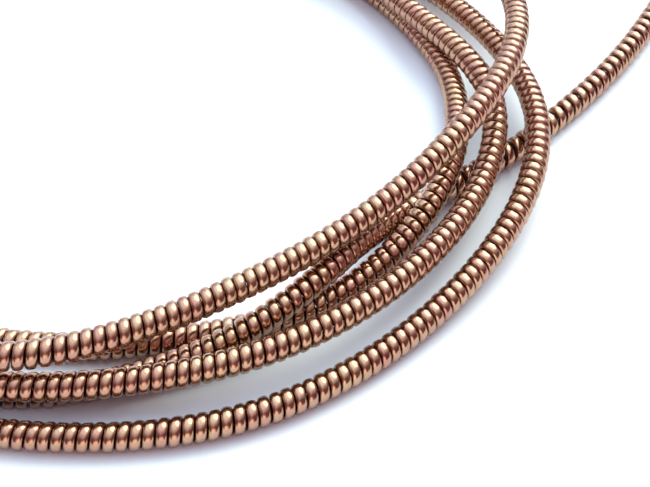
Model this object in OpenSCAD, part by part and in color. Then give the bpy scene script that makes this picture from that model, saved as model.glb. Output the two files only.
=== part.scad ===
// Close-wound metal wire cord, lying as a loose flat coil of five windings.
//
// The cord is one hard metal wire wound turn against turn into a narrow hollow
// helix. It is a single continuous piece with two trimmed ends and nothing
// inside it. This solid is the outer envelope of that winding: a round tube
// along the cord's real route, with a true round stub at each trimmed end.
//
// Units are millimetres and +Z is up. The coil lies on the plane Z = 0, and
// the origin is under the middle of its bounding box.

/* [Cord] */
// Outer diameter of the wound cord
cord_d = 2; // [1:0.1:2]
// Straight length of each trimmed end, the part that a crimp or end cap grips
end_len = 5; // [3:0.5:8]

/* [Coil] */
// Size of the coil in plan, as a multiple of its natural size
coil_scale = 1; // [1:0.05:1.5]
// Height that one winding is lifted where it rides over another, as a multiple
lift_scale = 1; // [1:0.05:1.3]

/* [Envelope] */
// Sides of the tube that stands for the winding
tube_sides = 8; // [8:1:12]
// Rings in each step of the route
rings_per_step = 2; // [1:1:2]

/* [Hidden] */

// The tube's corners lie just inside the outer diameter, so that windings
// which touch in the real coil stay a hair apart here.
tube_r = cord_d * 0.49;
// Overlap of a round stub with the tube behind it
joint_overlap = 0.3;

// Route, first stretch: the tail, from its free end in towards the coil.
// Each row is x, y and the height of the cord's centre.
tail = [
    [46.5,  21.5, 1],
    [43.3,  15.8, 1],
    [40.0,  10.4, 1],
    [36.5,   5.7, 1],
    [32.3,   1.0, 1],
    [27.8,  -3.4, 1]
];

// Route, second stretch: the windings, clockwise seen from above. There is one
// row for every 15 degrees, counted from the +X axis, with the distance from
// the coil's middle and the height of the cord's centre above the surface.
step = 15;
windings = [
    // first winding: dips under the others, then climbs over the second
    [24.4, 1.0], [20.9, 1.2], [21.0, 3.1], [22.8, 3.5], [23.9, 2.1], [25.2, 1.0],
    [27.8, 1.0], [29.3, 1.0], [30.0, 1.0], [30.0, 1.0], [29.8, 1.0], [29.6, 1.0],
    [29.5, 1.0], [29.4, 1.0], [29.2, 1.0], [29.0, 1.0], [28.6, 1.0], [27.8, 1.0],
    [26.8, 1.0], [25.8, 1.0], [24.9, 1.0], [24.2, 1.1], [24.1, 1.7], [23.6, 2.6],
    // second winding: crosses over the tail, then lies innermost
    [23.6, 3.5], [23.5, 2.8], [22.9, 1.1], [22.6, 1.0], [22.0, 1.0], [22.3, 1.0],
    [23.3, 1.0], [25.0, 1.0], [26.4, 1.0], [27.3, 1.0], [27.5, 1.0], [27.5, 1.0],
    [27.4, 1.0], [27.2, 1.0], [27.0, 1.0], [26.8, 1.2], [26.3, 1.8], [25.6, 2.4],
    [25.0, 3.0], [24.5, 3.2], [24.0, 3.2], [23.5, 3.4], [24.7, 4.0], [26.7, 4.1],
    // third winding: rides one diameter up along the front
    [26.5, 3.2], [26.0, 3.0], [25.8, 3.0], [25.9, 3.0], [26.3, 3.0], [26.9, 3.0],
    [28.4, 3.0], [30.2, 3.1], [31.6, 2.7], [32.3, 1.6], [32.3, 1.0], [32.0, 1.0],
    [31.9, 1.0], [31.8, 1.0], [31.7, 1.0], [31.5, 1.0], [31.2, 1.0], [30.7, 1.0],
    [30.1, 1.0], [29.4, 1.0], [28.9, 1.2], [28.7, 1.8], [29.1, 2.6], [30.0, 3.2],
    // fourth winding: outermost along the front, flat on the surface
    [30.0, 3.1], [29.2, 2.1], [28.6, 1.1], [28.9, 1.0], [29.6, 1.0], [29.9, 1.0],
    [30.7, 1.0], [32.4, 1.0], [33.9, 1.0], [34.6, 1.0], [34.6, 1.0], [34.4, 1.0],
    [34.2, 1.0], [34.0, 1.0], [33.9, 1.0], [33.8, 1.0], [33.6, 1.1], [33.4, 1.4],
    [33.4, 1.9], [33.3, 2.7], [33.0, 3.7], [32.3, 5.0], [30.2, 6.3], [27.1, 7.0],
    // fifth winding: over all the others, then down outside them to its end
    [24.3, 7.1], [22.4, 6.2], [21.3, 5.4], [21.1, 5.1], [22.1, 5.0], [24.4, 5.0],
    [27.7, 5.1], [29.8, 5.2], [31.6, 4.9], [33.6, 4.1], [35.6, 3.0], [37.2, 1.8],
    [37.6, 1.0], [37.4, 1.0], [37.1, 1.0], [36.8, 1.0], [36.5, 1.0], [36.3, 1.0],
    [36.1, 1.0]
];

// A cubic B-spline cuts inside its own control points on a round turn. This
// factor puts the points out far enough that the curve has the radius asked for.
spread = 3 / (2 + cos(step));

function lifted(z) = cord_d / 2 + (z - 1) * lift_scale;
function from_polar(i) =
    let (a = step * (i + 1), r = windings[i][0] * spread)
    [r * cos(a), -r * sin(a), windings[i][1]];
inner_points = concat(tail, [for (i = [0 : len(windings) - 1]) from_polar(i)]);
sized_points = [for (p = inner_points)
    [p[0] * coil_scale, p[1] * coil_scale, lifted(p[2])]];
// One more point past each end makes the route start and finish straight.
last = len(sized_points) - 1;
points = concat(
    [2 * sized_points[0] - sized_points[1]],
    sized_points,
    [2 * sized_points[last] - sized_points[last - 1]]);

// Cubic B-spline through four neighbouring points, t from 0 to 1
function spline(a, b, c, d, t) =
    (pow(1 - t, 3) * a
     + (3 * pow(t, 3) - 6 * pow(t, 2) + 4) * b
     + (-3 * pow(t, 3) + 3 * pow(t, 2) + 3 * t + 1) * c
     + pow(t, 3) * d) / 6;

segments = len(points) - 3;
route = concat(
    [for (i = [0 : segments - 1], j = [0 : rings_per_step - 1])
        spline(points[i], points[i + 1], points[i + 2], points[i + 3], j / rings_per_step)],
    [spline(points[segments - 1], points[segments], points[segments + 1],
            points[segments + 2], 1)]);
n = len(route);

function unit(v) = v / norm(v);
// Direction of the cord at ring i, and the two directions across it
function along(i) = unit(route[min(i + 1, n - 1)] - route[max(i - 1, 0)]);
function across(i) = unit(cross([0, 0, 1], along(i)));
function above(i) = cross(along(i), across(i));

ring_points = [for (i = [0 : n - 1], k = [0 : tube_sides - 1])
    let (a = 360 * k / tube_sides)
    route[i] + tube_r * (cos(a) * across(i) + sin(a) * above(i))];

// The bounding box of the tube and of the two round stubs sets the origin.
start_dir = -along(0);
end_dir = along(n - 1);
start_tip = route[0] + end_len * start_dir;
end_tip = route[n - 1] + end_len * end_dir;
function disc_reach(dir, axis) = cord_d / 2 * sqrt(1 - pow(dir[axis], 2));
function low(axis) = min(
    min([for (p = ring_points) p[axis]]),
    start_tip[axis] - disc_reach(start_dir, axis),
    end_tip[axis] - disc_reach(end_dir, axis));
function high(axis) = max(
    max([for (p = ring_points) p[axis]]),
    start_tip[axis] + disc_reach(start_dir, axis),
    end_tip[axis] + disc_reach(end_dir, axis));
place = [-(low(0) + high(0)) / 2, -(low(1) + high(1)) / 2, 0];

// Tube swept through all the rings, closed at both ends
module swept_tube() {
    side_faces = [for (i = [0 : n - 2], k = [0 : tube_sides - 1])
        let (k2 = (k + 1) % tube_sides, a = i * tube_sides, b = a + tube_sides)
        [a + k, b + k, b + k2, a + k2]];
    start_face = [[for (k = [0 : tube_sides - 1]) k]];
    end_face = [[for (k = [0 : tube_sides - 1]) n * tube_sides - 1 - k]];
    polyhedron(points = ring_points,
               faces = concat(side_faces, start_face, end_face),
               convexity = 20);
}

// Round stub of the full outer diameter, from the route's end out to its tip
module end_stub(at, dir) {
    tilt = acos(dir[2]);
    turn = atan2(dir[1], dir[0]);
    translate(at - joint_overlap * dir)
        rotate([0, tilt, turn])
            cylinder(d = cord_d, h = end_len + joint_overlap, $fn = 48);
}

module wire_wound_cord() {
    color([0.67, 0.49, 0.42])
    translate(place)
    union() {
        swept_tube();
        end_stub(route[0], start_dir);
        end_stub(route[n - 1], end_dir);
    }
}

wire_wound_cord();
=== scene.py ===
import math

import bpy
import numpy as np
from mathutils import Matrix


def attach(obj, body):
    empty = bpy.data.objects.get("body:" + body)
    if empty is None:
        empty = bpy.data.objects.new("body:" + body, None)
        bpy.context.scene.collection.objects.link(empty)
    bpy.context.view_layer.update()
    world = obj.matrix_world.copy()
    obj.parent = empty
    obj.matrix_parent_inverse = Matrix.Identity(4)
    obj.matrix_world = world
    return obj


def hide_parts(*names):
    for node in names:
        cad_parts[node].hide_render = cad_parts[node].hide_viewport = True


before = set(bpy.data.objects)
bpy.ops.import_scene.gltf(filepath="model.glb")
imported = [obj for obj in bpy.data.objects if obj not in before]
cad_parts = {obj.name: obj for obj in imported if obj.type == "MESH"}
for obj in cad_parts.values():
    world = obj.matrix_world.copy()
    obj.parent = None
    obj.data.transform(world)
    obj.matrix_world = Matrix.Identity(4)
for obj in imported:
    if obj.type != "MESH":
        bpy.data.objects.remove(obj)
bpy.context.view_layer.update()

MM = 0.001

# ---------------------------------------------------------------- camera
camera_data = bpy.data.cameras.new("camera")
camera_data.sensor_fit = "HORIZONTAL"
camera_data.sensor_width = 36.0
camera_data.lens = 66.46
camera_data.clip_start = 0.002
camera_data.clip_end = 50.0
camera = bpy.data.objects.new("camera", camera_data)
camera.location = (0.0070955, -0.0761212, 0.0676)
camera.rotation_euler = (math.radians(42.0), 0.0, 0.0)
bpy.context.scene.collection.objects.link(camera)
bpy.context.scene.camera = camera

# ---------------------------------------------------------------- the cord's route
# The same points as the CAD part, in millimetres: the tail as x, y, height of
# the cord's centre, then the windings as distance from the coil's middle and
# height, one every 15 degrees, clockwise seen from above.
TAIL = [
    (46.5, 21.5, 1), (43.3, 15.8, 1), (40.0, 10.4, 1),
    (36.5, 5.7, 1), (32.3, 1.0, 1), (27.8, -3.4, 1),
]
WINDINGS = [
    (24.4, 1.0), (20.9, 1.2), (21.0, 3.1), (22.8, 3.5), (23.9, 2.1), (25.2, 1.0),
    (27.8, 1.0), (29.3, 1.0), (30.0, 1.0), (30.0, 1.0), (29.8, 1.0), (29.6, 1.0),
    (29.5, 1.0), (29.4, 1.0), (29.2, 1.0), (29.0, 1.0), (28.6, 1.0), (27.8, 1.0),
    (26.8, 1.0), (25.8, 1.0), (24.9, 1.0), (24.2, 1.1), (24.1, 1.7), (23.6, 2.6),

    (23.6, 3.5), (23.5, 2.8), (22.9, 1.1), (22.6, 1.0), (22.0, 1.0), (22.3, 1.0),
    (23.3, 1.0), (25.0, 1.0), (26.4, 1.0), (27.3, 1.0), (27.5, 1.0), (27.5, 1.0),
    (27.4, 1.0), (27.2, 1.0), (27.0, 1.0), (26.8, 1.2), (26.3, 1.8), (25.6, 2.4),
    (25.0, 3.0), (24.5, 3.2), (24.0, 3.2), (23.5, 3.4), (24.7, 4.0), (26.7, 4.1),

    (26.5, 3.2), (26.0, 3.0), (25.8, 3.0), (25.9, 3.0), (26.3, 3.0), (26.9, 3.0),
    (28.4, 3.0), (30.2, 3.1), (31.6, 2.7), (32.3, 1.6), (32.3, 1.0), (32.0, 1.0),
    (31.9, 1.0), (31.8, 1.0), (31.7, 1.0), (31.5, 1.0), (31.2, 1.0), (30.7, 1.0),
    (30.1, 1.0), (29.4, 1.0), (28.9, 1.2), (28.7, 1.8), (29.1, 2.6), (30.0, 3.2),

    (30.0, 3.1), (29.2, 2.1), (28.6, 1.1), (28.9, 1.0), (29.6, 1.0), (29.9, 1.0),
    (30.7, 1.0), (32.4, 1.0), (33.9, 1.0), (34.6, 1.0), (34.6, 1.0), (34.4, 1.0),
    (34.2, 1.0), (34.0, 1.0), (33.9, 1.0), (33.8, 1.0), (33.6, 1.1), (33.4, 1.4),
    (33.4, 1.9), (33.3, 2.7), (33.0, 3.7), (32.3, 5.0), (30.2, 6.3), (27.1, 7.0),

    (24.3, 7.1), (22.4, 6.2), (21.3, 5.4), (21.1, 5.1), (22.1, 5.0), (24.4, 5.0),
    (27.7, 5.1), (29.8, 5.2), (31.6, 4.9), (33.6, 4.1), (35.6, 3.0), (37.2, 1.8),
    (37.6, 1.0), (37.4, 1.0), (37.1, 1.0), (36.8, 1.0), (36.5, 1.0), (36.3, 1.0),
    (36.1, 1.0),
]
PLACE = np.array([-5.90451, -3.12118, 0.0])
END = 5.0  # straight length at each end


def route(per_span):
    """The centreline in mm, in the row frame: a cubic B-spline through the points, with a straight stub at each end."""
    spread = 3.0 / (2.0 + math.cos(math.radians(15)))
    pts = [tuple(map(float, p)) for p in TAIL]
    for i, (r, z) in enumerate(WINDINGS):
        a = math.radians(15 * (i + 1))
        pts.append((spread * r * math.cos(a), -spread * r * math.sin(a), z))
    p = np.array(pts)
    p = np.vstack([2 * p[0] - p[1], p, 2 * p[-1] - p[-2]])
    t = (np.arange(per_span) / per_span)[:, None]
    out = []
    for i in range(len(p) - 3):
        a, b, c, d = p[i : i + 4]
        out.append(
            (
                (1 - t) ** 3 * a
                + (3 * t**3 - 6 * t**2 + 4) * b
                + (-3 * t**3 + 3 * t**2 + 3 * t + 1) * c
                + t**3 * d
            )
            / 6
        )
    out.append(((p[-3] + 4 * p[-2] + p[-1]) / 6)[None])
    q = np.vstack(out)
    first = q[0] - q[1]
    first /= np.linalg.norm(first)
    final = q[-1] - q[-2]
    final /= np.linalg.norm(final)
    k = np.linspace(1, 0, max(2, per_span // 2), endpoint=False)[:, None]
    head = q[0] + END * k * first
    tail = q[-1] + END * (k[::-1] + 0) * final
    return np.vstack([head, q, tail]) + PLACE


def unit(v):
    return v / np.linalg.norm(v, axis=-1, keepdims=True)


def wobble(x, seed):
    """A smooth irregular wave between about -1 and 1, about one swing for each unit of x."""
    w = np.zeros_like(x)
    for k, f in enumerate((0.231, 0.417, 0.683, 1.093, 1.571)):
        w += math.sin(seed * 3.7 + k) * np.sin(2 * math.pi * f * x + seed * (1.3 + k) * 2.1)
        w += 0.8 * np.cos(2 * math.pi * f * 1.17 * x + seed * 5.1 + k * 1.9)
    return w / 2.6


fine = route(48)
step = np.linalg.norm(np.diff(fine, axis=0), axis=1)
s_fine = np.concatenate([[0.0], np.cumsum(step)])
LENGTH = float(s_fine[-1])

# Even spacing along the cord, with its direction and how sharply it bends
S = np.linspace(0, LENGTH, 9001)
P = np.stack([np.interp(S, s_fine, fine[:, k]) for k in range(3)], 1)
kernel = np.hanning(15)
kernel /= kernel.sum()
T = unit(np.gradient(P, S, axis=0))
pad = 7
T = np.stack(
    [np.convolve(np.pad(T[:, k], pad, mode="edge"), kernel, "valid") for k in range(3)], 1
)
T = unit(T)
bend = np.linalg.norm(np.gradient(T, S, axis=0), axis=1)

# ---------------------------------------------------------------- the wound wire
CORD_R = 1.0  # outer radius of the winding
WIRE_W = 0.805  # width of the wire along the cord
SEG = 11.6  # steps in one turn

# Section of the wire, half domed and half flat as it lies in the winding:
# distance along the cord as a part of the width, and depth under the crown
SECTION = [
    (-0.500, 0.245), (-0.412, 0.085), (-0.200, 0.000), (0.200, 0.000),
    (0.412, 0.085), (0.500, 0.245), (0.330, 0.470), (-0.330, 0.470),
]
# 1 on the rubbed crown, 0 down in the groove and inside: the low values paint shade into the grooves and onto the
# turns' flanks, as well as marking oxide
WEAR_AND_SHADE = [0.27, 0.90, 1.0, 1.0, 0.90, 0.27, 0.10, 0.10]


def ease(x, a, b):
    """0 up to a, 1 from b on, smooth between."""
    u = np.clip((x - a) / (b - a), 0, 1)
    return u * u * (3 - 2 * u)


# Turns lie against each other on the inside of every bend. The tail has been
# pulled a little open, except where it was pinched at its tip.
opened = 0.24 * ease(S, 3.5, 7.0) * (1 - ease(S, 38.0, 50.0))
pitch = WIRE_W * (1 + bend * CORD_R) + 0.012 + opened
turns = np.concatenate([[0], np.cumsum(np.diff(S) * 2 / (pitch[1:] + pitch[:-1]))])
TURNS = float(turns[-1])

count = int(math.floor(TURNS * SEG)) + 1
n = np.linspace(0, TURNS, count)
s = np.interp(n, turns, S)
# Each turn sits a hair out of true
inside = np.minimum(1, np.minimum(s, LENGTH - s) / 1.0)
theta = -2 * math.pi * n + 0.6
loose = 1 + 1.6 * np.interp(s, S, opened) / 0.24
s_wire = s + inside * loose * (
    0.012 * wobble(n * 0.6, 1.0) + 0.016 * wobble(n * 0.31, 2.0) * np.cos(theta + 1.0)
)
s_wire = np.clip(s_wire, 0, LENGTH)
radius = CORD_R * (1 + 0.006 * wobble(n * 0.9, 4.0)) / math.cos(math.pi / SEG / 1.6)

centre = np.stack([np.interp(s_wire, S, P[:, k]) for k in range(3)], 1)
tangent = unit(np.stack([np.interp(s_wire, S, T[:, k]) for k in range(3)], 1))
side = unit(np.cross(np.array([0.0, 0.0, 1.0]), tangent))
up = np.cross(tangent, side)
radial = np.cos(theta)[:, None] * side + np.sin(theta)[:, None] * up
core = centre + radial * (radius - 0.24)[:, None]
along = unit(np.gradient(core, axis=0))
out = unit(radial - (radial * along).sum(1, keepdims=True) * along)
axial = np.cross(out, along)
axial *= np.sign((axial * tangent).sum(1, keepdims=True))
wire_s = np.concatenate([[0], np.cumsum(np.linalg.norm(np.diff(core, axis=0), axis=1))])

K = len(SECTION)
verts = np.empty((count, K, 3))
for k, (x, d) in enumerate(SECTION):
    verts[:, k] = core + out * (0.24 - d) + axial * (x * WIRE_W)
rim = np.array([[x * WIRE_W, -d] for x, d in SECTION])
around = np.concatenate([[0], np.cumsum(np.linalg.norm(np.diff(rim, axis=0), axis=1))])

flat = (verts.reshape(-1, 3) * MM).astype(np.float64)
i = np.arange(count - 1)[:, None] * K
k = np.arange(K)[None, :]
k2 = (k + 1) % K
quads = np.stack([i + k, i + K + k, i + K + k2, i + k2], -1).reshape(-1, 4)
# outward winding: test one quad and flip all if it faces in
a, b, c = flat[quads[K * 50 + 2, :3]]
if np.dot(np.cross(b - a, c - a), out[50]) < 0:
    quads = quads[:, ::-1]
faces = quads.tolist()
first_cap = list(range(K))
final_cap = list(range((count - 1) * K, count * K))
if np.dot(
    np.cross(flat[1] - flat[0], flat[4] - flat[0]), -along[0]
) < 0:
    first_cap.reverse()
else:
    pass
if np.dot(
    np.cross(flat[final_cap[1]] - flat[final_cap[0]], flat[final_cap[4]] - flat[final_cap[0]]),
    along[-1],
) < 0:
    final_cap.reverse()
faces += [first_cap, final_cap]

mesh = bpy.data.meshes.new("wound_wire")
mesh.from_pydata(flat.tolist(), [], faces)
mesh.update()
smooth = np.ones(len(mesh.polygons), dtype=bool)
smooth[-2:] = False
mesh.polygons.foreach_set("use_smooth", smooth)

# Stored per vertex: the mask that paints shade into the grooves and onto the flanks, besides marking oxide
wear_and_shade = mesh.attributes.new("wear_and_shade", "FLOAT", "POINT")
wear_and_shade.data.foreach_set("value", np.tile(np.array(WEAR_AND_SHADE), count).astype(np.float32))
wire = mesh.attributes.new("wire", "FLOAT_VECTOR", "POINT")
w = np.zeros((count, K, 3), dtype=np.float32)
w[:, :, 0] = wire_s[:, None]
w[:, :, 1] = around[None, :]
w[:, :, 2] = n[:, None]
wire.data.foreach_set("vector", w.reshape(-1))

cord = bpy.data.objects.new("wound_wire", mesh)
bpy.context.scene.collection.objects.link(cord)

# ---------------------------------------------------------------- metal
metal = bpy.data.materials.new("antique_copper_wire")
metal.use_nodes = True
nt = metal.node_tree
nt.nodes.clear()


def node(kind, **values):
    made = nt.nodes.new(kind)
    for key, value in values.items():
        setattr(made, key, value)
    return made


def link(a, b):
    nt.links.new(a, b)


def maths(operation, a, b=None, clamp=False):
    m = node("ShaderNodeMath", operation=operation, use_clamp=clamp)
    for socket, value in zip(m.inputs, (a, b)):
        if value is None:
            continue
        if isinstance(value, (int, float)):
            socket.default_value = value
        else:
            link(value, socket)
    return m.outputs[0]


def noise(vector, scale, detail=2.0, rough=0.5):
    t = node("ShaderNodeTexNoise", noise_dimensions="3D")
    t.inputs["Scale"].default_value = scale
    t.inputs["Detail"].default_value = detail
    t.inputs["Roughness"].default_value = rough
    link(vector, t.inputs["Vector"])
    return t.outputs["Fac"]


def stretch(vector, scale):
    m = node("ShaderNodeMapping")
    m.inputs["Scale"].default_value = scale
    link(vector, m.inputs["Vector"])
    return m.outputs["Vector"]


def spread_out(value, low, high, to_low=0.0, to_high=1.0):
    m = node("ShaderNodeMapRange")
    m.inputs["From Min"].default_value = low
    m.inputs["From Max"].default_value = high
    m.inputs["To Min"].default_value = to_low
    m.inputs["To Max"].default_value = to_high
    link(value, m.inputs["Value"])
    return m.outputs["Result"]


def mix(factor, a, b, blend="MIX"):
    m = node("ShaderNodeMix", data_type="RGBA", blend_type=blend)
    if isinstance(factor, (int, float)):
        m.inputs[0].default_value = factor
    else:
        link(factor, m.inputs[0])
    for socket, value in ((m.inputs[6], a), (m.inputs[7], b)):
        if isinstance(value, tuple):
            socket.default_value = (*value, 1.0)
        else:
            link(value, socket)
    return m.outputs[2]


output = node("ShaderNodeOutputMaterial")
shader = node("ShaderNodeBsdfPrincipled")
link(shader.outputs[0], output.inputs[0])
shader.inputs["Metallic"].default_value = 1.0

# This mask paints shade into the grooves and onto the turns' flanks, besides marking oxide
wear_and_shade_at = node("ShaderNodeAttribute", attribute_name="wear_and_shade").outputs["Fac"]
wire_at = node("ShaderNodeAttribute", attribute_name="wire").outputs["Vector"]

# Tone wanders from pinker copper to golden bronze, over a few turns and within each
tone_slow = noise(stretch(wire_at, (0.055, 0.4, 0.0)), 1.0, 3.0, 0.6)
tone_fine = noise(stretch(wire_at, (1.3, 3.0, 0.0)), 1.0, 4.0, 0.65)
tone = maths("ADD", maths("MULTIPLY", tone_slow, 0.65), maths("MULTIPLY", tone_fine, 0.35))
copper = mix(spread_out(tone, 0.36, 0.64), (0.405, 0.193, 0.148), (0.455, 0.285, 0.172))

# Painted shade and dark oxide in the grooves and on the turns' flanks, where nothing rubs; dark oxide alone in faint
# smudges
smudge = noise(stretch(wire_at, (0.9, 2.0, 0.0)), 1.0, 5.0, 0.7)
rub_and_shade = maths("ADD", wear_and_shade_at, spread_out(smudge, 0.3, 0.7, -0.22, 0.10))
bright = spread_out(rub_and_shade, 0.05, 0.85)
# The near-black colour is painted shade in the grooves and on the flanks, together with dark oxide
base = mix(bright, (0.140, 0.045, 0.034), copper)
link(base, shader.inputs["Base Color"])

# Drawing marks run along the wire
streak = noise(stretch(wire_at, (0.35, 26.0, 0.0)), 1.0, 3.0, 0.6)
grain = noise(stretch(wire_at, (9.0, 16.0, 0.0)), 1.0, 3.0, 0.7)
rough = maths("ADD", spread_out(bright, 0.0, 1.0, 0.36, 0.14), spread_out(streak, 0.3, 0.7, -0.02, 0.07))
rough = maths("ADD", rough, spread_out(grain, 0.35, 0.65, -0.03, 0.06))
link(rough, shader.inputs["Roughness"])
height = maths("ADD", maths("MULTIPLY", streak, 0.7), maths("MULTIPLY", grain, 0.5))
bump = node("ShaderNodeBump")
bump.inputs["Strength"].default_value = 0.5
bump.inputs["Distance"].default_value = 0.00001
link(height, bump.inputs["Height"])
link(bump.outputs["Normal"], shader.inputs["Normal"])

mesh.materials.append(metal)

# ---------------------------------------------------------------- what it stands for
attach(cord, "root")
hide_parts("wire_wound_cord")
line = route(6) * MM

# ---------------------------------------------------------------- floor and light
floor_mesh = bpy.data.meshes.new("floor")
reach = 6.0
floor_mesh.from_pydata(
    [(-reach, -reach, 0), (reach, -reach, 0), (reach, reach, 0), (-reach, reach, 0)],
    [],
    [(0, 1, 2, 3)],
)
floor = bpy.data.objects.new("floor", floor_mesh)
bpy.context.scene.collection.objects.link(floor)
paper = bpy.data.materials.new("white_table")
paper.use_nodes = True
paper_shader = paper.node_tree.nodes["Principled BSDF"]
paper_shader.inputs["Base Color"].default_value = (0.83, 0.88, 0.96, 1.0)
paper_shader.inputs["Roughness"].default_value = 0.9
paper_shader.inputs["Specular IOR Level"].default_value = 0.2
floor_mesh.materials.append(paper)


# The room, as soft patches of light: the compass angle and height of each one's
# middle, where it starts to fade in and where it is full, in degrees, and its colour.
ROOM = [
    (62, 47, 30, 17, (4.90, 5.20, 4.00)),  # window, behind and to the right
    (80, 62, 42, 34, (0.60, 0.80, 0.75)),  # its sheer curtain
    (90, 60, 76, 30, (0.90, 1.18, 1.42)),  # pale wall and ceiling behind
    (165, 35, 45, 20, (0.20, 0.34, 0.46)),  # pale wall on the left
    (262, 62, 30, 12, (0.45, 0.42, 0.48)),  # reflector above the camera
    (272, 6, 32, 14, (2.00, 1.80, 1.75)),  # low reflector in front
    (75, 5, 36, 8, (0.98, 1.26, 1.55)),  # foot of the wall behind
]

world = bpy.data.worlds.new("studio")
bpy.context.scene.world = world
world.use_nodes = True
wn = world.node_tree
wn.nodes.clear()
w_out = wn.nodes.new("ShaderNodeOutputWorld")
w_bg = wn.nodes.new("ShaderNodeBackground")
w_tc = wn.nodes.new("ShaderNodeTexCoord")


def vector_math(operation, a, b):
    made = wn.nodes.new("ShaderNodeVectorMath")
    made.operation = operation
    for socket, value in zip(made.inputs, (a, b)):
        if isinstance(value, tuple):
            socket.default_value = value
        else:
            wn.links.new(value, socket)
    return made


total = (0.28, 0.13, 0.13)
for compass, height_angle, outer, inner, colour in ROOM:
    az, el = math.radians(compass), math.radians(height_angle)
    towards = (math.cos(el) * math.cos(az), math.cos(el) * math.sin(az), math.sin(el))
    near = vector_math("DOT_PRODUCT", w_tc.outputs["Generated"], towards).outputs["Value"]
    fade = wn.nodes.new("ShaderNodeMapRange")
    fade.interpolation_type = "SMOOTHSTEP"
    fade.inputs["From Min"].default_value = math.cos(math.radians(outer))
    fade.inputs["From Max"].default_value = math.cos(math.radians(inner))
    wn.links.new(near, fade.inputs["Value"])
    patch = wn.nodes.new("ShaderNodeVectorMath")
    patch.operation = "SCALE"
    patch.inputs[0].default_value = colour
    wn.links.new(fade.outputs["Result"], patch.inputs["Scale"])
    total = vector_math("ADD", total, patch.outputs["Vector"]).outputs["Vector"]
# Beyond the floor's edge the room itself shows as a plain pale wall
w_path = wn.nodes.new("ShaderNodeLightPath")
w_wall = wn.nodes.new("ShaderNodeMix")
w_wall.data_type = "RGBA"
w_wall.inputs[7].default_value = (0.93, 0.95, 0.96, 1.0)
wn.links.new(w_path.outputs["Is Camera Ray"], w_wall.inputs[0])
wn.links.new(total, w_wall.inputs[6])
wn.links.new(w_wall.outputs[2], w_bg.inputs["Color"])
wn.links.new(w_bg.outputs[0], w_out.inputs[0])

bpy.context.scene.view_settings.view_transform = "Standard"
bpy.context.scene.view_settings.look = "None"
